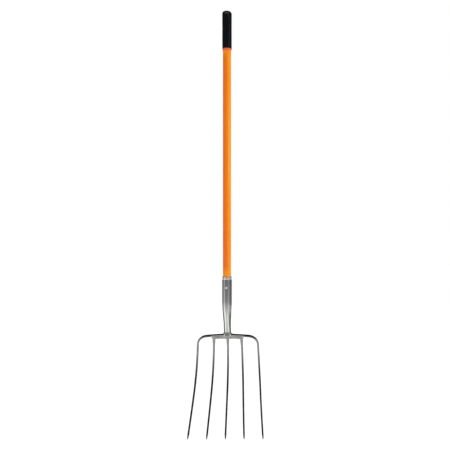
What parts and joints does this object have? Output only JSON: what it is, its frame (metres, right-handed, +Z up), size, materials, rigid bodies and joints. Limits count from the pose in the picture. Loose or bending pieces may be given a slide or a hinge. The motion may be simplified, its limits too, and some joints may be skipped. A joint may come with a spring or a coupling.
{
  "type": "manure fork",
  "caption": "Long-handled manure fork: dished steel tines on a bowed shoulder, tapered riveted socket, insulated orange tube handle and a black rubber end grip.",
  "frame": {"origin": "on the handle's axis, at the hold point in the middle of the grip's upper barrel", "axes": "+Z up along the handle towards the grip's end, -Y to the front of the fork, the way the tines' points lean, +X to the right seen from the front"},
  "size_m": [0.2992, 0.0758, 1.6928],
  "materials": {
    "grip_rubber": "satin moulded rubber",
    "coral_band": "glossy",
    "orange_tube": "glossy, with long fibre streaks",
    "foam": "closed-cell foam",
    "plug_plastic": "moulded",
    "plug_wood": "turned hardwood",
    "bright_ring": "bright, rolled edge",
    "socket_steel": "satin, ground along its length",
    "rivet_steel": "bright",
    "tine_steel": "forged and polished",
    "weld_steel": "dressed weld"
  },
  "bodies": {
    "root": {"grip": "grip_rubber", "grip_band": "coral_band", "handle_tube": "orange_tube", "foam_core": "foam", "top_plug": "plug_plastic", "rivet_plug": "plug_wood", "ferrule_ring": "bright_ring", "socket": "socket_steel", "socket_rivet": "rivet_steel", "rivet_washer": "rivet_steel", "neck_weld": "weld_steel", "shoulder_bow": "tine_steel", "inner_tine_left": "tine_steel", "middle_tine": "tine_steel", "inner_tine_right": "tine_steel", "tine_welds": "weld_steel"}
  },
  "joints": []
}
